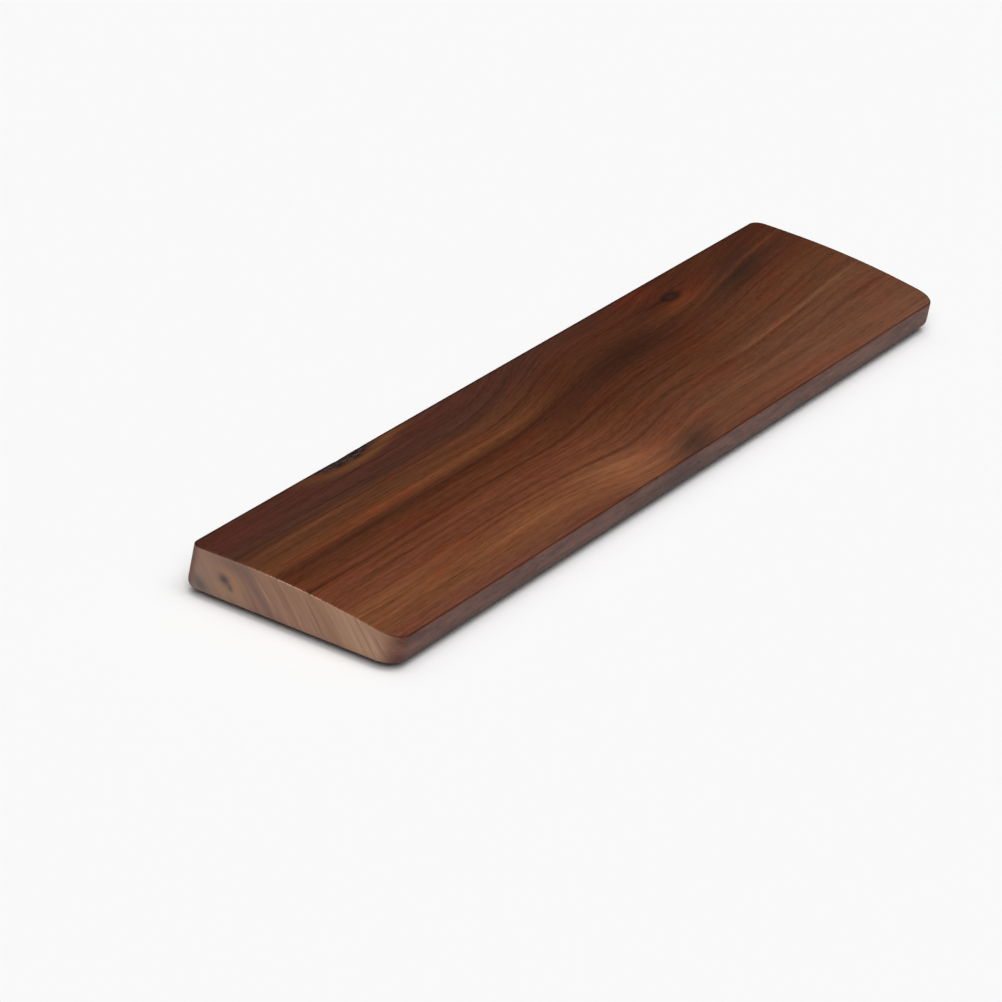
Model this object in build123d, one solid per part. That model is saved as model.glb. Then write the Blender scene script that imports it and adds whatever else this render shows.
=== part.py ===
from build123d import *
import os

# Wrist rest for a full-size keyboard: a planed walnut board on six stick-on rubber feet.
# Frame: X along the length, -Y the low edge towards the user, +Y the tall edge towards the
# keyboard, +Z up. The origin is on the desk, under the middle of the board. Millimetres.

# board
LENGTH = 440.0
WIDTH = 80.0
FRONT_HEIGHT = 10.5  # height of the low edge
CROWN_HEIGHT = 16.0  # thickest line of the board
BACK_HEIGHT = 15.8  # height of the tall edge
CROWN_FROM_BACK = 18.0  # from the tall edge to the thickest line
FRONT_CORNER_RADIUS = 8.0  # corners beside the user, seen from above
BACK_CORNER_RADIUS = 5.0  # corners beside the keyboard, seen from above
TOP_EDGE_RADIUS = 0.8
BOTTOM_EDGE_RADIUS = 3.2

# feet, each held on by a thin adhesive disc
FOOT_DIAMETER = 10.0
FOOT_TIP_DIAMETER = 9.0  # where it meets the desk
FOOT_HEIGHT = 1.8
FOOT_RIM_RADIUS = 0.4
FILM_DIAMETER = 9.4
FILM_THICKNESS = 0.2
FOOT_FROM_END = 25.0  # from the board's end to the foot's centre
FOOT_FROM_EDGE = 12.0  # from the board's long edge to the foot's centre

UNDERSIDE = FOOT_HEIGHT + FILM_THICKNESS  # height of the board's flat underside
CROWN_Y = WIDTH / 2 - CROWN_FROM_BACK
FOOT_COLUMNS = {
    "left": FOOT_FROM_END - LENGTH / 2,
    "middle": 0.0,
    "right": LENGTH / 2 - FOOT_FROM_END,
}
FOOT_ROWS = {
    "front": FOOT_FROM_EDGE - WIDTH / 2,
    "back": WIDTH / 2 - FOOT_FROM_EDGE,
}


def board_section():
    """Side profile: square sides, and a top that rises in one arc from the low edge to the crown
    and falls in a flatter arc to the tall edge. The arcs are level where they meet."""
    front_top = (-WIDTH / 2, UNDERSIDE + FRONT_HEIGHT)
    back_top = (WIDTH / 2, UNDERSIDE + BACK_HEIGHT)
    crown = (CROWN_Y, UNDERSIDE + CROWN_HEIGHT)
    with BuildSketch(Plane.YZ) as section:
        with BuildLine():
            Polyline(front_top, (-WIDTH / 2, UNDERSIDE), (WIDTH / 2, UNDERSIDE), back_top)
            TangentArc(crown, front_top, tangent=(-1, 0))
            TangentArc(crown, back_top, tangent=(1, 0))
        make_face()
    return section.sketch


def make_board():
    """The section run along the length, with its corners rounded and its edges eased."""
    board = extrude(board_section(), amount=LENGTH / 2, both=True)
    corners = board.edges().filter_by(Axis.Z).sort_by(Axis.Y)
    board = fillet(corners[:2], FRONT_CORNER_RADIUS)
    corners = board.edges().filter_by(Axis.Z).sort_by(Axis.Y)
    board = fillet(corners[-2:], BACK_CORNER_RADIUS)
    board = fillet(top_rim(board), TOP_EDGE_RADIUS)
    return fillet(board.faces().sort_by(Axis.Z)[0].edges(), BOTTOM_EDGE_RADIUS)


def top_rim(board):
    """The edges round the top, without the line where its two arcs meet."""
    top = board.faces().filter_by(lambda face: face.normal_at().Z > 0.5)
    edges = ShapeList(edge for face in top for edge in face.edges())
    return edges.filter_by(lambda edge: abs(edge.center().Y - CROWN_Y) > 1)


def make_foot():
    """A round rubber foot that narrows towards the desk, with a soft lower rim."""
    foot = Cone(
        FOOT_TIP_DIAMETER / 2,
        FOOT_DIAMETER / 2,
        FOOT_HEIGHT,
        align=(Align.CENTER, Align.CENTER, Align.MIN),
    )
    return fillet(foot.edges().sort_by(Axis.Z)[0], FOOT_RIM_RADIUS)


def make_film():
    """The adhesive disc between a foot and the board."""
    return Cylinder(
        FILM_DIAMETER / 2, FILM_THICKNESS, align=(Align.CENTER, Align.CENTER, Align.MIN)
    )


os.makedirs("parts", exist_ok=True)
export_step(make_board(), "parts/walnut_board.step")
for row, y in FOOT_ROWS.items():
    for column, x in FOOT_COLUMNS.items():
        export_step(Pos(x, y, 0) * make_foot(), f"parts/foot_{row}_{column}.step")
        export_step(Pos(x, y, FOOT_HEIGHT) * make_film(), f"parts/film_{row}_{column}.step")
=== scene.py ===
from math import cos, exp, pi, radians, sin

import bmesh
import bpy
from mathutils import Matrix, Vector, noise


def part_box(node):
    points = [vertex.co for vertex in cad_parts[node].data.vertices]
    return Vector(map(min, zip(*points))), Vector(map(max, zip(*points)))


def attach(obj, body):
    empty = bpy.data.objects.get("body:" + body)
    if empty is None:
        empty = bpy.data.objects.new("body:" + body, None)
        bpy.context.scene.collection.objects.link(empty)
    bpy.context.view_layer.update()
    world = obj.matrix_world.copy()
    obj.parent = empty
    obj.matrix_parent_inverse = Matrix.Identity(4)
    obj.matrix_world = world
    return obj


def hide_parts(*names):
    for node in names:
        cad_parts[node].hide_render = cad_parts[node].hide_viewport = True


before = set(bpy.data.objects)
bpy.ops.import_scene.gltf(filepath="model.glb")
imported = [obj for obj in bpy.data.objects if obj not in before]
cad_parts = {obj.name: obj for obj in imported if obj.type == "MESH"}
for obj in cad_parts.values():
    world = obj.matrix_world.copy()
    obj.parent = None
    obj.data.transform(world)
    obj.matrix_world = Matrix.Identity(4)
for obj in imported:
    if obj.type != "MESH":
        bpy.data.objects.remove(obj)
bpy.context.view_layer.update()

# A solid walnut wrist rest on six rubber feet. X runs along the board, -Y is the low edge beside
# the user, +Y the tall edge beside the keyboard, +Z up. Lengths are in metres, but the wood's
# figure and marks are in millimetres, because its shader works in them.

MM = 0.001
board_low, board_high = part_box("walnut_board")

# ---------------------------------------------------------------- camera, floor and light

CAMERA_AZIMUTH = -67.18  # degrees; 0 looks along +Y
CAMERA_ELEVATION = 23.24
CAMERA_ROLL = 11.56
CAMERA_DISTANCE = 2.114
CAMERA_RIGHT = -0.0304  # slides the view sideways
CAMERA_UP = -0.0199
CAMERA_SEES_TO = 50
SENSOR_WIDTH = 36  # mm
FOCAL_LENGTH = 214.4  # mm

FLOOR_REACH = 12.0  # from the middle to each side
FLOOR_PAINT = (0.96, 0.96, 0.96, 1)

# Large distant lights: the direction each stands in, its width in degrees, its strength.
SOFT_LIGHTS = {
    "key": ((-1.0, -0.35, 0.9), 36, 1.5),
    "overhead": ((-0.1, -0.1, 1.0), 46, 1.18),
}
BACKDROP = 0.948
SKY_DIM_BELOW = 0.5  # sine of the elevation below which the sky stays dim
SKY_HORIZON = 0.036
SKY_ZENITH = 0.67


def make_camera():
    azimuth, elevation, roll = (
        radians(angle) for angle in (CAMERA_AZIMUTH, CAMERA_ELEVATION, CAMERA_ROLL)
    )
    back = Vector((
        sin(azimuth) * cos(elevation),
        -cos(azimuth) * cos(elevation),
        sin(elevation),
    ))
    level_right = Vector((0, 0, 1)).cross(back).normalized()
    level_up = back.cross(level_right)
    right = level_right * cos(roll) + level_up * sin(roll)
    up = level_up * cos(roll) - level_right * sin(roll)
    underside_centre = Vector((0, 0, board_low.z))
    place = underside_centre + back * CAMERA_DISTANCE + right * CAMERA_RIGHT + up * CAMERA_UP
    data = bpy.data.cameras.new("camera")
    data.sensor_width = SENSOR_WIDTH
    data.lens = FOCAL_LENGTH
    data.clip_end = CAMERA_SEES_TO
    camera = bpy.data.objects.new("camera", data)
    camera.matrix_world = Matrix.Translation(place) @ Matrix((right, up, back)).transposed().to_4x4()
    bpy.context.scene.collection.objects.link(camera)
    bpy.context.scene.camera = camera


def make_floor():
    mesh = bpy.data.meshes.new("floor")
    corners = [(x * FLOOR_REACH, y * FLOOR_REACH, 0) for x, y in ((-1, -1), (1, -1), (1, 1), (-1, 1))]
    mesh.from_pydata(corners, [], [(0, 1, 2, 3)])
    floor = bpy.data.objects.new("floor", mesh)
    bpy.context.scene.collection.objects.link(floor)
    paint = Shader("floor_paint")
    paint.finish({"Base Color": FLOOR_PAINT, "Roughness": 1.0, "Specular IOR Level": 0.0})
    mesh.materials.append(paint.material)


def make_soft_lights():
    for name, (direction, width, strength) in SOFT_LIGHTS.items():
        data = bpy.data.lights.new(name, "SUN")
        data.angle = radians(width)
        data.energy = strength
        light = bpy.data.objects.new(name, data)
        light.rotation_mode = "QUATERNION"
        light.rotation_quaternion = Vector(direction).to_track_quat("Z", "Y")
        bpy.context.scene.collection.objects.link(light)


def make_world():
    """A pale backdrop to the camera. To everything else, a soft sky, dim at the horizon and bright
    overhead."""
    world = bpy.data.worlds.new("studio")
    world.use_nodes = True
    tree = world.node_tree
    background = tree.nodes["Background"]
    background.inputs["Color"].default_value = (1, 1, 1, 1)
    direction = tree.nodes.new("ShaderNodeTexCoord")
    height = tree.nodes.new("ShaderNodeSeparateXYZ")
    sky = tree.nodes.new("ShaderNodeMapRange")
    sky.interpolation_type = "SMOOTHSTEP"
    sky.inputs["From Min"].default_value = SKY_DIM_BELOW
    sky.inputs["To Min"].default_value = SKY_HORIZON
    sky.inputs["To Max"].default_value = SKY_ZENITH
    path = tree.nodes.new("ShaderNodeLightPath")
    choice = tree.nodes.new("ShaderNodeMix")
    choice.inputs["B"].default_value = BACKDROP
    tree.links.new(direction.outputs["Generated"], height.inputs[0])
    tree.links.new(height.outputs["Z"], sky.inputs["Value"])
    tree.links.new(path.outputs["Is Camera Ray"], choice.inputs["Factor"])
    tree.links.new(sky.outputs["Result"], choice.inputs["A"])
    tree.links.new(choice.outputs["Result"], background.inputs["Strength"])
    bpy.context.scene.world = world


# ---------------------------------------------------------------- shader building


def linear(colour):
    """An sRGB colour, 0 to 255, as linear RGBA."""
    channels = [c / 255 for c in colour]
    return [c / 12.92 if c <= 0.04045 else ((c + 0.055) / 1.055) ** 2.4 for c in channels] + [1]


class Shader:
    """A material whose nodes are added by short calls. Values may be numbers, colours or sockets."""

    def __init__(self, name):
        self.material = bpy.data.materials.new(name)
        self.material.use_nodes = True
        self.tree = self.material.node_tree
        self.bsdf = self.tree.nodes["Principled BSDF"]

    def set(self, socket, value):
        if isinstance(value, bpy.types.NodeSocket):
            self.tree.links.new(value, socket)
        else:
            socket.default_value = value

    def node(self, kind, inputs=(), **settings):
        made = self.tree.nodes.new("ShaderNode" + kind)
        for name, value in settings.items():
            setattr(made, name, value)
        for key, value in dict(inputs).items():
            self.set(made.inputs[key], value)
        return made

    def math(self, operation, *values):
        return self.node("Math", enumerate(values), operation=operation).outputs[0]

    def add(self, a, b):
        return self.math("ADD", a, b)

    def sub(self, a, b):
        return self.math("SUBTRACT", a, b)

    def mul(self, a, b):
        return self.math("MULTIPLY", a, b)

    def centred(self, fraction, amount):
        """A fraction from 0 to 1, turned into a change of half the amount either way."""
        return self.mul(self.sub(fraction, 0.5), amount)

    def vector(self, x, y, z):
        return self.node("CombineXYZ", {0: x, 1: y, 2: z}).outputs[0]

    def step(self, value, low, high, out_low=0.0, out_high=1.0):
        """Smooth rise from out_low at low to out_high at high."""
        made = self.node("MapRange", {"Value": value}, interpolation_type="SMOOTHSTEP")
        limits = {"From Min": low, "From Max": high, "To Min": out_low, "To Max": out_high}
        for key, limit in limits.items():
            self.set(made.inputs[key], limit)
        return made.outputs["Result"]

    def bell(self, value, centre, width):
        """1 at the centre, falling off like a bell."""
        offset = self.math("DIVIDE", self.sub(value, centre), width)
        return self.math("EXPONENT", self.mul(self.mul(offset, offset), -1.0))

    def spot(self, x, y, centre_x, centre_y, length, width, turn=0.0):
        """A soft oval of some half-length and half-width, turned by some degrees from the x axis."""
        from_x = self.sub(x, centre_x)
        from_y = self.sub(y, centre_y)
        c, s = cos(radians(turn)), sin(radians(turn))
        along = self.add(self.mul(from_x, c / length), self.mul(from_y, s / length))
        across = self.sub(self.mul(from_y, c / width), self.mul(from_x, s / width))
        squared = self.add(self.mul(along, along), self.mul(across, across))
        return self.math("EXPONENT", self.mul(squared, -1.0))

    def noise(self, vector, scale=1.0, detail=2.0, roughness=0.5):
        inputs = {"Vector": vector, "Scale": scale, "Detail": detail, "Roughness": roughness}
        return self.node("TexNoise", inputs).outputs["Fac"]

    def flat_noise(self, x, y, length, width, seed, detail=2.0, roughness=0.5):
        """Noise over a plane, its marks some length along x and some width along y."""
        place = self.vector(self.mul(x, 1 / length), self.mul(y, 1 / width), seed)
        return self.noise(place, detail=detail, roughness=roughness)

    def ramp(self, value, low, high, stops):
        """Colours over a range: stops are (place, sRGB colour) from low to high."""
        made = self.node("ValToRGB", {"Fac": self.math("DIVIDE", self.sub(value, low), high - low)})
        elements = made.color_ramp.elements
        while len(elements) < len(stops):
            elements.new(0.5)
        for element, (place, colour) in zip(elements, stops):
            element.position = (place - low) / (high - low)
            element.color = linear(colour)
        return made.outputs["Color"]

    def mix(self, factor, a, b, blend="MIX"):
        made = self.node("Mix", data_type="RGBA", blend_type=blend)
        sockets = [s for s in made.inputs if s.type == "RGBA"]
        self.set(made.inputs["Factor"], factor)
        self.set(sockets[0], a)
        self.set(sockets[1], b)
        return next(s for s in made.outputs if s.type == "RGBA")

    def scale(self, colour, factor):
        """A colour made lighter or darker by a factor."""
        grey = self.vector(factor, factor, factor)
        return self.mix(1.0, colour, grey, blend="MULTIPLY")

    def paint(self, base, mask, colour):
        """An sRGB colour laid over a base as far as the mask says."""
        return self.mix(mask, base, linear(colour))

    def paint_spots(self, base, x, y, spots, cover=1.0):
        """Soft ovals laid over a base, one after another, each at its own strength."""
        for *oval, strength, colour in spots.values():
            mask = self.mul(self.spot(x, y, *oval), cover)
            base = self.paint(base, self.mul(mask, strength), colour)
        return base

    def finish(self, inputs, bump=None, strength=0.3, depth=0.2 * MM):
        for key, value in inputs.items():
            self.set(self.bsdf.inputs[key], value)
        if bump is not None:
            made = self.node("Bump", {"Height": bump, "Strength": strength, "Distance": depth})
            self.tree.links.new(made.outputs["Normal"], self.bsdf.inputs["Normal"])


# ---------------------------------------------------------------- the walnut's figure and marks
# Places and sizes are in millimetres. Colours are sRGB, 0 to 255; the tints and the sheen offset are
# linear.

END_MM = board_high.x / MM
BACK_MM = board_high.y / MM
TOP_MM = board_high.z / MM

# Colours across the top, from the low edge to the tall one, near the left end, in the middle and
# near the right end. Places are across the figure, which runs on past the tall edge because the
# growth rings slant through the board's thickness.
FIGURE_FROM, FIGURE_TO = -40, 60
FIGURE_LEFT = [
    (-38, (106, 64, 49)), (-32, (110, 67, 50)), (-27, (116, 71, 47)), (-20, (115, 69, 45)),
    (-14, (108, 62, 42)), (-6, (105, 59, 39)), (-2, (97, 54, 35)), (3, (86, 48, 31)),
    (7, (82, 46, 31)), (9, (100, 58, 37)), (11.5, (103, 61, 38)), (15, (93, 56, 37)),
    (20.5, (88, 52, 36)), (23, (76, 48, 37)), (30, (79, 46, 38)), (40, (80, 47, 36)),
]
FIGURE_MIDDLE = [
    (-38, (98, 64, 49)), (-30, (106, 65, 47)), (-22, (109, 69, 49)), (-17, (99, 60, 43)),
    (-11, (91, 53, 35)), (-4, (82, 46, 30)), (3, (69, 39, 27)), (9.5, (82, 46, 30)),
    (16, (80, 44, 31)), (24, (77, 47, 37)), (38, (78, 43, 32)),
]
FIGURE_RIGHT = [
    (-38, (118, 79, 60)), (-27, (110, 71, 53)), (-20, (107, 68, 50)), (-13, (96, 60, 42)),
    (-6, (94, 55, 37)), (1, (83, 48, 33)), (8, (78, 43, 29)), (17, (79, 43, 28)),
    (24, (84, 47, 33)), (38, (80, 44, 31)),
]
# The same bands in the paler end grain.
FIGURE_END = [
    (-38, (148, 115, 95)), (-26, (150, 116, 96)), (-16, (156, 122, 101)), (-10, (150, 117, 96)),
    (-4, (141, 108, 88)), (2, (146, 112, 93)), (8, (140, 107, 88)), (13, (145, 110, 92)),
    (16.5, (138, 106, 90)), (20, (125, 97, 86)), (23.5, (132, 102, 87)), (36, (139, 110, 94)),
    (44, (137, 111, 97)), (56, (130, 108, 97)),
]
LEFT_INTO_MIDDLE = (-50, 15)  # where along the board one set of colours gives way to the next
MIDDLE_INTO_RIGHT = (60, 150)

RING_LEAN = 1.15  # how far the growth rings move across for each millimetre down
RING_STRAIGHTENS = 0.015  # how much less they lean for each millimetre down
RING_SPACING = 2.9
GRAIN_DEPTH = 9  # the size of the grain's marks through the board's thickness
MOTTLE_LENGTH, MOTTLE_WIDTH, MOTTLE_HEIGHT = 14, 9, 2.5
RIM_SHADE_FADE = (1.6, 0.7)  # from the edge: where the painted dark rim shade begins, and where it is full

# Where the figure climbs towards the tall edge: from x, to x, share of its place, amount at 0.
FIGURE_RISES = ((-65, 50, 0.3, 6.2), (70, 225, 0.16, 5.5))
DIP_X, DIP_LENGTH, DIP_DEPTH = -18, 40, 4.5  # where it dips beside the low edge

KNOT_X, KNOT_Y = 117, 27
KNOT_SIZE = (7.5, 2.9)  # half-length, half-width
KNOT_PULL_LENGTH, KNOT_PULL_WIDTH, KNOT_PULL = 16, 6, -0.7  # how it draws the figure aside
BARK_X, BARK_Y = -117, 40.5
BARK_LENGTH, BARK_WIDTH = 23, 5.0
BARK_DOWN_BACK = (BARK_X + 2, 18.5, 15, 4.5)  # centre x, z, half-length, half-height

# Patches on the top: centre x, y, half-length, half-width, turn in degrees, strength, colour.
PATCHES = {
    "dark_far": (164, 21.5, 32, 6.5, 8, 0.95, (56, 38, 30)),
    "dark_mid_far": (54, 14, 36, 5, 2, 0.8, (58, 35, 26)),
    "dark_front": (7, -37.5, 22, 6, 14, 1.0, (74, 51, 43)),
    "golden_front": (-32, -31, 24, 8, -6, 0.75, (142, 92, 64)),
    "golden_left": (-85, -27, 45, 4, 0, 0.35, (132, 84, 54)),
    "golden_far_left": (-190, -26, 30, 5, 0, 0.3, (128, 80, 50)),
    "red_knot_above": (106, 36, 14, 5, -10, 0.65, (98, 44, 30)),
    "orange_knot_below": (120, 21.5, 28, 3.8, 8, 0.65, (112, 60, 36)),
    "gold_back": (-79, 38.3, 8, 1.8, 0, 0.5, (106, 64, 38)),
    "red_knot_right": (138, 27, 10, 3, 12, 0.5, (84, 42, 29)),
    "dark_knot_tail": (110, 27.3, 17, 1.1, 0, 0.75, (50, 28, 22)),
    "red_corner_far": (196, -24, 12, 6, 20, 0.35, (120, 66, 52)),
    "red_back_left": (-205, 34, 22, 6, 0, 0.35, (88, 42, 34)),
}

# Single grain lines: place across the figure, half-width, from x, to x, strength, colour.
GRAIN_LINES = {
    "dark_a": (-3.8, 0.6, -240, 30, 0.6, (66, 33, 24)),
    "dark_b": (-15.6, 0.4, -150, 60, 0.6, (72, 38, 28)),
    "dark_c": (-9.6, 0.35, -200, -60, 0.45, (74, 40, 29)),
    "dark_d": (5.6, 0.9, -240, 30, 0.5, (60, 34, 24)),
    "dark_e": (-20.0, 0.45, 70, 225, 0.5, (74, 43, 32)),
    "dark_f": (-1.0, 0.6, 60, 225, 0.35, (66, 36, 27)),
    "light_a": (-14.4, 0.5, 80, 225, 0.4, (138, 96, 70)),
    "light_b": (-24.5, 0.7, -230, -60, 0.35, (138, 86, 54)),
    "light_c": (10.6, 1.2, -230, -20, 0.3, (122, 72, 44)),
    "light_d": (19.0, 0.8, -230, -40, 0.35, (112, 70, 46)),
    "light_e": (3.5, 0.8, 90, 225, 0.35, (112, 64, 42)),
}
LINE_TAPER = 30  # the length over which such a line fades in or out

# Marks in the near end: centre y, z, half-length, half-width, turn in degrees, strength, colour.
END_MARKS = {
    "top_shade": (23.0, 16.0, 7.0, 2.2, 8, 0.6, (112, 88, 82)),
    "knot_ring": (23.0, 9.2, 5.2, 3.4, 40, 0.6, (158, 118, 90)),
    "knot_ring_line": (20.0, 8.8, 4.8, 0.5, 39, 0.4, (146, 102, 80)),
    "knot": (25.2, 10.3, 2.3, 1.5, 25, 1.1, (88, 75, 73)),
    "knot_tail": (22.6, 8.2, 1.6, 0.9, 38, 0.95, (94, 79, 75)),
    "grey_corner": (33.5, 5.6, 4.2, 1.9, 34, 0.9, (96, 84, 84)),
    "grey_back": (39.3, 8.0, 1.2, 4.0, 0, 0.5, (98, 88, 90)),
    "band_dark": (13.2, 10.2, 10.0, 1.1, 40, 0.6, (110, 86, 80)),
    "band_light": (9.6, 10.6, 7.0, 0.5, 42, 0.5, (164, 130, 106)),
    "band_second": (2.4, 11.0, 8.5, 0.9, 45, 0.5, (118, 91, 80)),
    "line_dark": (-9.5, 9.0, 7.0, 0.3, 50, 0.7, (110, 82, 70)),
    "line_light": (-30.5, 9.0, 4.5, 0.3, 48, 0.6, (178, 142, 116)),
    "line_front": (-33.2, 8.4, 4.5, 0.4, 50, 0.6, (120, 88, 74)),
}

# Small marks in the long faces: centre x, z, half-length, half-width, turn, strength, colour.
SIDE_MARKS = {
    "dark_middle": (-8, 7, 24, 6, 0, 0.55, (64, 44, 40)),
    "dark_streak": (-20, 8, 30, 0.8, 5, 0.4, (58, 40, 36)),
    "blemish_a": (42, 4.6, 2.2, 0.6, 20, 0.9, (44, 32, 30)),
    "blemish_b": (8, 7.5, 1.8, 0.6, -25, 0.7, (50, 36, 34)),
    "blemish_c": (-118, 4.8, 2.4, 0.5, 10, 0.6, (50, 36, 34)),
}

KNOT_BROWN = (45, 27, 23)
KNOT_HEART = (66, 45, 42)
BARK_HALO = (112, 72, 43)
BARK_CRACK = (32, 25, 24)
BARK_RIDGE = (80, 67, 62)
BARK_BEHIND = (34, 28, 27)
# painted shade along the top's rounded low edge
LOW_RIM_SHADE = (68, 33, 25)
# painted shade on the top's rims behind and at the far end, which face away from the light
TALL_RIM_SHADE = (30, 20, 19)
# painted highlight on the near end's eased top edge
END_RIM_HIGHLIGHT = (196, 160, 136)
SIDE_DARK = (87, 58, 51)
SIDE_PALE = (118, 81, 70)
SIDE_FOOT = (74, 48, 37)
RED_TINT = (1.1, 0.93, 0.88, 1)
GOLD_TINT = (0.98, 1.03, 0.95, 1)
SHEEN_OFFSET = (0.0055, 0.0055, 0.0055, 1)  # painted shade: what is taken out of every channel to offset the sheen reflected from the pale surroundings
GLOSS = 0.12

# ---------------------------------------------------------------- walnut


class Walnut(Shader):
    """The wood, and what all its surfaces share: where a point lies, its figure, grain and rings."""

    def __init__(self):
        super().__init__("walnut")
        place = self.node("TexCoord")
        millimetres = self.node(
            "VectorMath", {0: place.outputs["Object"], "Scale": 1 / MM}, operation="SCALE"
        )
        self.x, self.y, self.z = self.node("SeparateXYZ", {0: millimetres.outputs[0]}).outputs
        self.facing = self.node("SeparateXYZ", {0: place.outputs["Normal"]}).outputs
        self.drop = self.sub(TOP_MM, self.z)
        self.figure = self.make_figure()
        self.broad = self.along_grain(90, 2.8, detail=3, roughness=0.6)
        self.fine = self.along_grain(70, 0.8, detail=3, roughness=0.65)
        self.hair = self.along_grain(6, 0.45)
        self.pores = self.step(self.along_grain(4, 0.3, detail=1), 0.6, 0.74)
        self.ragged = self.mul(self.sub(self.add(self.fine, self.hair), 1.0), 0.9)
        self.wavy_y = self.add(self.y, self.centred(self.broad, 5.0))
        self.rings = self.make_rings()
        self.streaks = self.make_streaks()

    def make_figure(self):
        """Where a point lies across the wood's figure: its place across the board, carried down through
        the thickness along the slanted growth rings, and bent as the grain wanders along the board."""
        lean = self.sub(RING_LEAN, self.mul(self.drop, RING_STRAIGHTENS))
        slant = self.add(self.y, self.mul(self.drop, lean))
        waver = self.flat_noise(self.x, slant, 120, 18, seed=3.7, detail=1)
        ripple = self.flat_noise(self.x, slant, 45, 5, seed=9.1)
        figure = self.add(slant, self.centred(waver, 2.6))
        figure = self.add(figure, self.centred(ripple, 0.9))
        for start, end, share, base in FIGURE_RISES:
            amount = self.math("MAXIMUM", self.add(self.mul(slant, share), base), 0.0)
            figure = self.sub(figure, self.mul(self.step(self.x, start, end), amount))
        dip = self.mul(self.bell(self.x, DIP_X, DIP_LENGTH), self.step(slant, 5, -30, 0, DIP_DEPTH))
        figure = self.add(figure, dip)
        near_knot = self.mul(
            self.bell(self.x, KNOT_X, KNOT_PULL_LENGTH), self.bell(self.y, KNOT_Y, KNOT_PULL_WIDTH)
        )
        pull = self.mul(self.mul(self.sub(self.y, KNOT_Y), near_knot), KNOT_PULL)
        return self.add(figure, pull)

    def along_grain(self, length, width, detail=2, roughness=0.5):
        """Noise drawn out along the grain: the size of its marks."""
        place = self.vector(
            self.mul(self.x, 1 / length),
            self.mul(self.figure, 1 / width),
            self.mul(self.drop, 1 / GRAIN_DEPTH),
        )
        return self.noise(place, detail=detail, roughness=roughness)

    def make_rings(self):
        """Growth rings: thin dark lines, sharp on one side, that come and go along the grain."""
        spacing = self.flat_noise(self.x, self.figure, 180, 8, seed=5.1, detail=1)
        phase = self.add(self.mul(self.figure, 1 / RING_SPACING), self.mul(spacing, 2.2))
        line = self.math("POWER", self.math("FRACT", phase), 5.0)
        fade = self.along_grain(110, 3.2, detail=1)
        return self.mul(line, self.step(fade, 0.4, 0.68, 0.04, 0.25))

    def make_streaks(self):
        """Fine light and dark streaks that follow the figure, calmer at the right and in front."""
        streaks = self.add(self.centred(self.broad, 0.8), self.centred(self.fine, 1.2))
        streaks = self.add(streaks, self.centred(self.hair, 0.8))
        streaks = self.mul(streaks, self.step(self.x, -20, 140, 1.0, 0.78))
        return self.mul(streaks, self.step(self.y, -38, -8, 0.8, 1.05))


def oiled_top(wood):
    """The top: bands across the figure, then patches, single lines, streaks and changes of hue."""
    left, middle, right = (
        wood.ramp(wood.figure, FIGURE_FROM, FIGURE_TO, stops)
        for stops in (FIGURE_LEFT, FIGURE_MIDDLE, FIGURE_RIGHT)
    )
    top = wood.mix(wood.step(wood.x, *LEFT_INTO_MIDDLE), left, middle)
    top = wood.mix(wood.step(wood.x, *MIDDLE_INTO_RIGHT), top, right)
    broken = wood.add(0.5, wood.fine)
    top = wood.paint_spots(top, wood.x, wood.wavy_y, PATCHES, cover=broken)
    for centre, half_width, start, end, strength, colour in GRAIN_LINES.values():
        stretch = wood.mul(
            wood.step(wood.x, start, start + LINE_TAPER), wood.step(wood.x, end, end - LINE_TAPER)
        )
        mask = wood.mul(wood.bell(wood.figure, centre, half_width), stretch)
        top = wood.paint(top, wood.mul(wood.mul(mask, broken), strength), colour)
    brightness = wood.sub(wood.add(1.06, wood.streaks), wood.rings)
    top = wood.scale(top, wood.sub(brightness, wood.mul(wood.pores, 0.2)))
    hue = wood.along_grain(60, 6)
    top = wood.mix(wood.step(hue, 0.5, 0.68, 0, 0.8), top, RED_TINT, blend="MULTIPLY")
    return wood.mix(wood.step(hue, 0.5, 0.32, 0, 0.8), top, GOLD_TINT, blend="MULTIPLY")


def add_knot(wood, top):
    """The knot near the far end: a dark oval with a greyer heart."""
    knot = wood.spot(wood.x, wood.wavy_y, KNOT_X, KNOT_Y, *KNOT_SIZE)
    top = wood.paint(top, wood.step(knot, 0.15, 0.75, 0, 0.85), KNOT_BROWN)
    return wood.paint(top, wood.step(knot, 0.65, 1.0, 0, 0.5), KNOT_HEART)


def add_bark(wood, top):
    """The bark pocket in the tall edge: ragged dark bark, and a golden halo round it."""
    along = wood.mul(wood.sub(wood.x, BARK_X), 1 / BARK_LENGTH)
    across = wood.mul(wood.sub(wood.y, BARK_Y), 1 / BARK_WIDTH)
    away = wood.add(wood.mul(along, along), wood.mul(across, across))
    halo = wood.mul(wood.bell(away, 1.9, 0.85), wood.step(wood.broad, 0.25, 0.7, 0.3, 0.85))
    halo = wood.mul(halo, wood.step(wood.x, BARK_X - 40, BARK_X + 5, 0.35, 1.0))
    top = wood.paint(top, halo, BARK_HALO)
    bark = wood.mix(wood.step(wood.hair, 0.44, 0.6), linear(BARK_CRACK), linear(BARK_RIDGE))
    return wood.mix(wood.step(wood.add(away, wood.ragged), 1.15, 0.6, 0, 0.92), top, bark)


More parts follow.
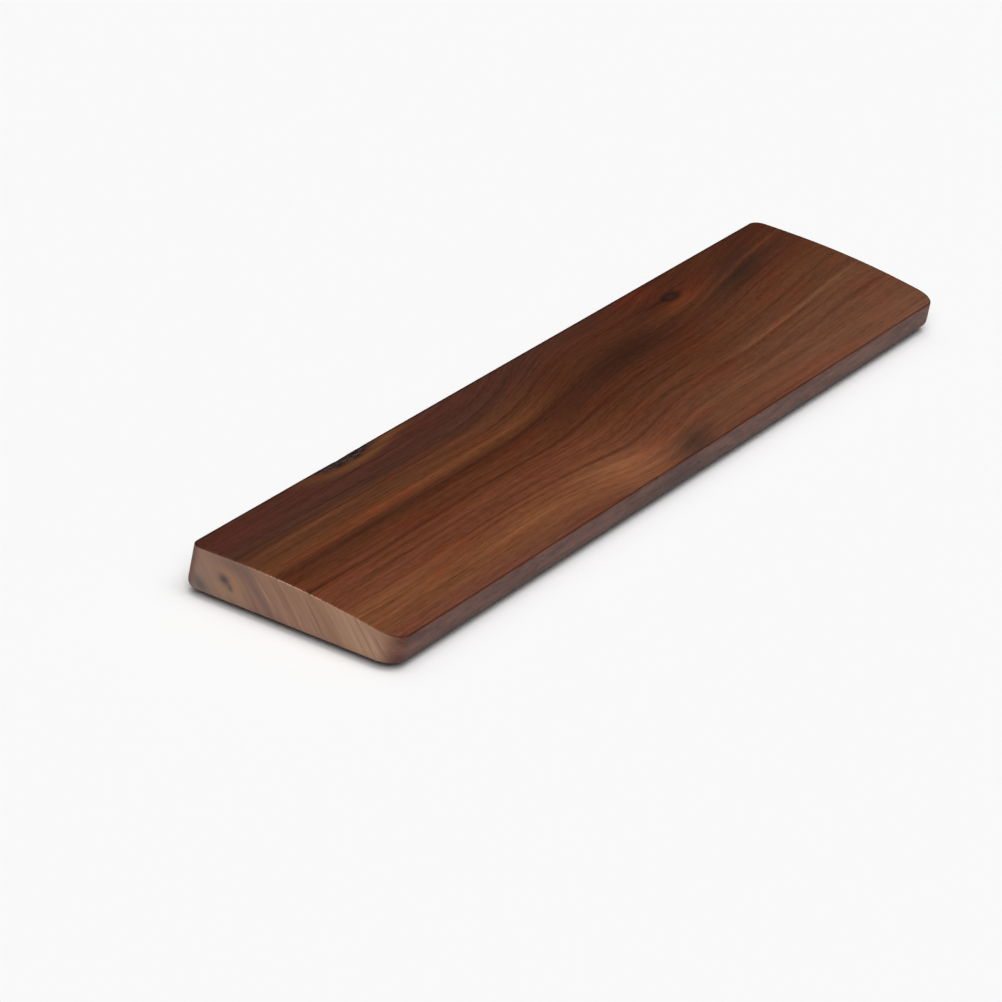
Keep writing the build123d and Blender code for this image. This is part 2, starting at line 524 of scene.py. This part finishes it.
def add_rim_shade(wood, top):
    """Painted shade on the eased edges of the top: brown beside the user, nearly black behind and at
    the far end, where the edges turn away from the light.
    """
    # painted shade: the top's rounded low edge, picked out by the way it faces, darkened as if in shade
    low_rim_shade = wood.mul(wood.step(wood.facing[1], -0.15, -0.45), wood.step(wood.facing[2], 0.25, 0.5))
    top = wood.paint(top, wood.mul(low_rim_shade, 0.7), LOW_RIM_SHADE)
    # painted shade wherever the top's edge turns towards +X or +Y, away from the light, and in a band
    # along the tall edge and the far end
    turned_from_light = wood.step(wood.math("MAXIMUM", wood.facing[0], wood.facing[1]), 0.1, 0.4)
    behind = wood.step(wood.y, *(BACK_MM - inset for inset in RIM_SHADE_FADE))
    far_end = wood.step(wood.x, *(END_MM - inset for inset in RIM_SHADE_FADE))
    beside = wood.mul(wood.math("MAXIMUM", behind, far_end), 0.9)
    tall_rim_shade = wood.math("MAXIMUM", turned_from_light, beside)
    return wood.paint(top, wood.mul(tall_rim_shade, 0.85), TALL_RIM_SHADE)


def dull_side(wood):
    """The long faces and the underside: mottled, darker at the foot, with the bark behind."""
    place = wood.vector(
        wood.mul(wood.x, 1 / MOTTLE_LENGTH),
        wood.mul(wood.y, 1 / MOTTLE_WIDTH),
        wood.mul(wood.z, 1 / MOTTLE_HEIGHT),
    )
    mottle = wood.noise(place, detail=5, roughness=0.65)
    side = wood.mix(wood.step(mottle, 0.3, 0.7), linear(SIDE_DARK), linear(SIDE_PALE))
    side = wood.paint(side, wood.step(wood.z, 7, 3, 0, 0.8), SIDE_FOOT)
    side = wood.paint_spots(side, wood.x, wood.z, SIDE_MARKS)
    side = wood.scale(side, wood.add(1.0, wood.mul(wood.streaks, 0.6)))
    bark = wood.add(wood.spot(wood.x, wood.z, *BARK_DOWN_BACK), wood.ragged)
    facing_back = wood.step(wood.facing[1], 0.2, 0.6)
    return wood.paint(side, wood.mul(wood.step(bark, 0.4, 0.7, 0, 0.9), facing_back), BARK_BEHIND)


def sawn_end(wood):
    """The sawn ends: paler, striped by the growth rings. The near end has its own knot and marks."""
    end = wood.ramp(wood.figure, FIGURE_FROM, FIGURE_TO, FIGURE_END)
    stripes = wood.flat_noise(wood.figure, wood.drop, 1.6, 30, seed=2.2, detail=3, roughness=0.6)
    stripes = wood.sub(wood.centred(stripes, 0.8), wood.mul(wood.rings, 0.8))
    calm_behind = wood.step(wood.y, 31, 18, 0.35, 1.0)
    end = wood.scale(end, wood.add(1.02, wood.mul(stripes, calm_behind)))
    near_half = wood.step(wood.x, 10, -10)
    return wood.paint_spots(end, wood.y, wood.z, END_MARKS, cover=near_half)


def facing_endways(wood):
    """How far a wall belongs to a sawn end: 1 there, falling off quickly round the corners."""
    level = wood.node(
        "VectorMath", {0: wood.vector(wood.facing[0], wood.facing[1], 0)}, operation="LENGTH"
    )
    level = wood.math("MAXIMUM", level.outputs["Value"], 0.05)
    endways = wood.math("DIVIDE", wood.math("ABSOLUTE", wood.facing[0]), level)
    not_underside = wood.step(wood.facing[2], -0.95, -0.6)
    return wood.mul(wood.math("POWER", endways, 6.0), not_underside)


def add_end_rim_highlight(wood, colour):
    """Painted highlight along the near end's eased top edge, which faces the light: a pale line,
    strongest in the middle.
    """
    rim = wood.mul(wood.step(wood.facing[0], -0.45, -0.6), wood.step(wood.facing[2], 0.35, 0.5))
    rim = wood.mul(wood.mul(rim, wood.step(wood.facing[2], 0.8, 0.7)), wood.bell(wood.y, -1, 20))
    # the painted highlight is broken up along the grain
    highlight_breaks = wood.step(wood.fine, 0.35, 0.6, 0.1, 0.8)
    return wood.paint(colour, wood.mul(rim, highlight_breaks), END_RIM_HIGHLIGHT)


def make_walnut():
    """All the surfaces of the wood, told apart by the way they face, then evenly darkened by painted
    shade that offsets the reflected sheen.
    """
    wood = Walnut()
    top = add_rim_shade(wood, add_bark(wood, add_knot(wood, oiled_top(wood))))
    walls = wood.mix(facing_endways(wood), dull_side(wood), sawn_end(wood))
    colour = wood.mix(wood.step(wood.facing[2], 0.35, 0.75), walls, top)
    # painted highlight on the near end's top edge, where it faces the light
    colour = add_end_rim_highlight(wood, colour)
    # painted shade: an even darkening in every channel that offsets the sheen reflected from the pale
    # surroundings
    colour = wood.mix(1.0, colour, SHEEN_OFFSET, blend="SUBTRACT")
    roughness = wood.add(wood.mul(wood.fine, 0.14), 0.44)
    roughness = wood.add(roughness, wood.mul(wood.pores, 0.15))
    height = wood.sub(wood.mul(wood.fine, 0.5), wood.pores)
    inputs = {"Base Color": colour, "Roughness": roughness, "Specular IOR Level": GLOSS}
    wood.finish(inputs, bump=height, strength=0.25)
    return wood.material


# ---------------------------------------------------------------- board

PLAN_RADIUS_FRONT = 8 * MM  # corners beside the user, seen from above
PLAN_RADIUS_BACK = 5 * MM
TOP_EDGE = 0.8 * MM  # radii of the eased edges
BOTTOM_EDGE = 3.2 * MM
FRONT_EDGE_DROP = 5.5 * MM  # the low edge below the crown
BACK_EDGE_DROP = 0.2 * MM
CROWN_FROM_BACK = 18 * MM
ARC_STEPS = 8  # in half a corner
LENGTH_STEPS = 384  # in a straight side
WIDTH_STEPS = 64
EDGE_STEPS = 5  # round an eased edge
WALL_STEPS = 7

RIPPLES_ALONG, RIPPLES_ACROSS = 14, 40  # sanding ripples in a metre
RIPPLE_HEIGHT = 0.06  # mm
BARK_GRAIN_ALONG, BARK_GRAIN_ACROSS = 300, 500  # roughness of the bark, in a metre

# Hollows in the top: centre x, y, half-length, half-width and depth, all in millimetres.
KNOT_DIMPLE = (KNOT_X, KNOT_Y, 4.0, 1.8, 0.25)
BARK_POCKET = (BARK_X, 41, 15, 3.2, 0.3)


def crown_height(y):
    """Height of the top at y: two parabolas that meet level, close to arcs at this size."""
    crown_y = board_high.y - CROWN_FROM_BACK
    run = y - crown_y
    if run < 0:
        return board_high.z - FRONT_EDGE_DROP * (run / (crown_y - board_low.y)) ** 2
    return board_high.z - BACK_EDGE_DROP * (run / CROWN_FROM_BACK) ** 2


def plan_sides():
    """The plan's four sides, anticlockwise from the front, each from the middle of one corner's arc
    to the middle of the next. A point is (place, outward direction), before any inset."""
    corners = {}
    for angle, end_x, edge_y, radius in (
        (-135, board_low.x, board_low.y, PLAN_RADIUS_FRONT),
        (-45, board_high.x, board_low.y, PLAN_RADIUS_FRONT),
        (45, board_high.x, board_high.y, PLAN_RADIUS_BACK),
        (135, board_low.x, board_high.y, PLAN_RADIUS_BACK),
    ):
        inward = Vector((1 if end_x < 0 else -1, 1 if edge_y < 0 else -1))
        corners[angle] = (Vector((end_x, edge_y)) + inward * radius, radius)
    sides = []
    side_steps = {-90: LENGTH_STEPS, 0: WIDTH_STEPS, 90: LENGTH_STEPS, 180: WIDTH_STEPS}
    for outward, steps in side_steps.items():
        first = corners[outward - 45]
        second = corners[outward + 45 if outward < 180 else -135]
        arcs = []
        for (centre, radius), start in ((first, outward - 45), (second, outward)):
            arc = []
            for i in range(ARC_STEPS + 1):
                angle = radians(start + 45 * i / ARC_STEPS)
                direction = Vector((cos(angle), sin(angle)))
                arc.append((centre + direction * radius, direction))
            arcs.append(arc)
        (leave, direction), (arrive, _) = arcs[0][-1], arcs[1][0]
        straight = [(leave.lerp(arrive, i / steps), direction) for i in range(1, steps)]
        sides.append(arcs[0] + straight + arcs[1])
    return sides


def surface_ripple(x, y):
    """The slight unevenness of a hand-sanded top."""
    return noise.noise(Vector((x * RIPPLES_ALONG, y * RIPPLES_ACROSS, 0.3))) * RIPPLE_HEIGHT * MM


def hollow(x, y, centre_x, centre_y, length, width, depth):
    """How deep a soft oval hollow is at a point of the top."""
    along = (x / MM - centre_x) / length
    across = (y / MM - centre_y) / width
    return exp(-(along**2) - across**2) * depth * MM


def top_height(x, y):
    """The top with its real unevenness: sanding, the knot's dimple and the hollow bark pocket."""
    rough = 1 + noise.noise(Vector((x * BARK_GRAIN_ALONG, y * BARK_GRAIN_ACROSS, 1.7)))
    level = crown_height(y) + surface_ripple(x, y)
    return level - hollow(x, y, *KNOT_DIMPLE) - hollow(x, y, *BARK_POCKET) * rough


def patch(bm, sides, place):
    """Fills a closed loop of four sides with a grid, and returns the grid's rim in order."""
    front, right, back, left = sides
    columns, rows = len(front) - 1, len(right) - 1
    grid = []
    for j in range(rows + 1):
        v = j / rows
        row = []
        for i in range(columns + 1):
            u = i / columns
            low, high = front[i], back[columns - i]
            west, east = left[rows - j], right[j]
            corners = (
                front[0] * (1 - u) * (1 - v) + front[-1] * u * (1 - v)
                + back[0] * u * v + back[-1] * (1 - u) * v
            )
            flat = low * (1 - v) + high * v + west * (1 - u) + east * u - corners
            row.append(bm.verts.new(place(flat)))
        grid.append(row)
    for low, high in zip(grid, grid[1:]):
        for i in range(columns):
            bm.faces.new((low[i], low[i + 1], high[i + 1], high[i]))
    return (
        grid[0][:-1] + [row[-1] for row in grid[:-1]]
        + grid[-1][:0:-1] + [row[0] for row in grid[:0:-1]]
    )


def build_board_mesh(bm):
    """One closed skin: a gridded top, its eased edge, the walls, the lower edge and the underside."""
    sides = plan_sides()
    rim = [point for side in sides for point in side[:-1]]
    wall_foot = board_low.z + BOTTOM_EDGE

    def inset_sides(inset):
        return [[place - outward * inset for place, outward in side] for side in sides]

    def loop(inset, height):
        verts = []
        for place, outward in rim:
            p = place - outward * inset
            inner = place - outward * TOP_EDGE
            verts.append(bm.verts.new((p.x, p.y, height(inner))))
        return verts

    def top_of_wall(p):
        return top_height(p.x, p.y) - TOP_EDGE

    loops = [patch(bm, inset_sides(TOP_EDGE), lambda p: (p.x, p.y, top_height(p.x, p.y)))]
    for i in range(1, EDGE_STEPS + 1):
        angle = pi / 2 * i / EDGE_STEPS
        fall = TOP_EDGE * (1 - cos(angle))
        loops.append(loop(TOP_EDGE * (1 - sin(angle)), lambda p: top_height(p.x, p.y) - fall))
    for i in range(1, WALL_STEPS + 1):
        share = i / WALL_STEPS
        loops.append(loop(0, lambda p: top_of_wall(p) * (1 - share) + wall_foot * share))
    for i in range(1, EDGE_STEPS):
        angle = pi / 2 * i / EDGE_STEPS
        fall = BOTTOM_EDGE * sin(angle)
        loops.append(loop(BOTTOM_EDGE * (1 - cos(angle)), lambda p: wall_foot - fall))
    loops.append(patch(bm, inset_sides(BOTTOM_EDGE), lambda p: (p.x, p.y, board_low.z)))

    for upper, lower in zip(loops, loops[1:]):
        for i in range(len(rim)):
            j = (i + 1) % len(rim)
            bm.faces.new((upper[i], lower[i], lower[j], upper[j]))


def make_board():
    bm = bmesh.new()
    build_board_mesh(bm)
    bmesh.ops.recalc_face_normals(bm, faces=bm.faces)
    for face in bm.faces:
        face.smooth = True
    mesh = bpy.data.meshes.new("board")
    bm.to_mesh(mesh)
    bm.free()
    board = bpy.data.objects.new("board", mesh)
    bpy.context.scene.collection.objects.link(board)
    mesh.materials.append(make_walnut())
    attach(board, "root")
    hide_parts("walnut_board")


# ---------------------------------------------------------------- feet

RUBBER = (34, 34, 35)
RUBBER_DUST = (74, 71, 67)
ADHESIVE = (196, 192, 180)
ADHESIVE_BUBBLE = (222, 219, 208)


def make_rubber():
    shader = Shader("rubber")
    place = shader.node("TexCoord").outputs["Object"]
    grain = shader.noise(place, scale=2500, detail=3)
    dust = shader.noise(place, scale=220, detail=4, roughness=0.6)
    colour = shader.mix(shader.step(dust, 0.5, 0.8, 0, 0.5), linear(RUBBER), linear(RUBBER_DUST))
    roughness = shader.add(shader.mul(dust, 0.25), 0.6)
    inputs = {"Base Color": colour, "Roughness": roughness}
    shader.finish(inputs, bump=grain, strength=0.3, depth=0.05 * MM)
    return shader.material


def make_adhesive():
    shader = Shader("adhesive")
    place = shader.node("TexCoord").outputs["Object"]
    bubbles = shader.noise(place, scale=900)
    colour = shader.mix(shader.step(bubbles, 0.45, 0.7), linear(ADHESIVE), linear(ADHESIVE_BUBBLE))
    roughness = shader.add(shader.mul(bubbles, 0.3), 0.3)
    inputs = {"Base Color": colour, "Roughness": roughness}
    shader.finish(inputs, bump=bubbles, strength=0.2, depth=0.03 * MM)
    return shader.material


def dress_feet():
    rubber, adhesive = make_rubber(), make_adhesive()
    for name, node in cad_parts.items():
        if name.startswith("foot_"):
            node.material_slots[0].material = rubber
        elif name.startswith("film_"):
            node.material_slots[0].material = adhesive


# ---------------------------------------------------------------- the scene

make_camera()
make_floor()
make_world()
make_soft_lights()
bpy.context.scene.view_settings.view_transform = "Standard"
make_board()
dress_feet()
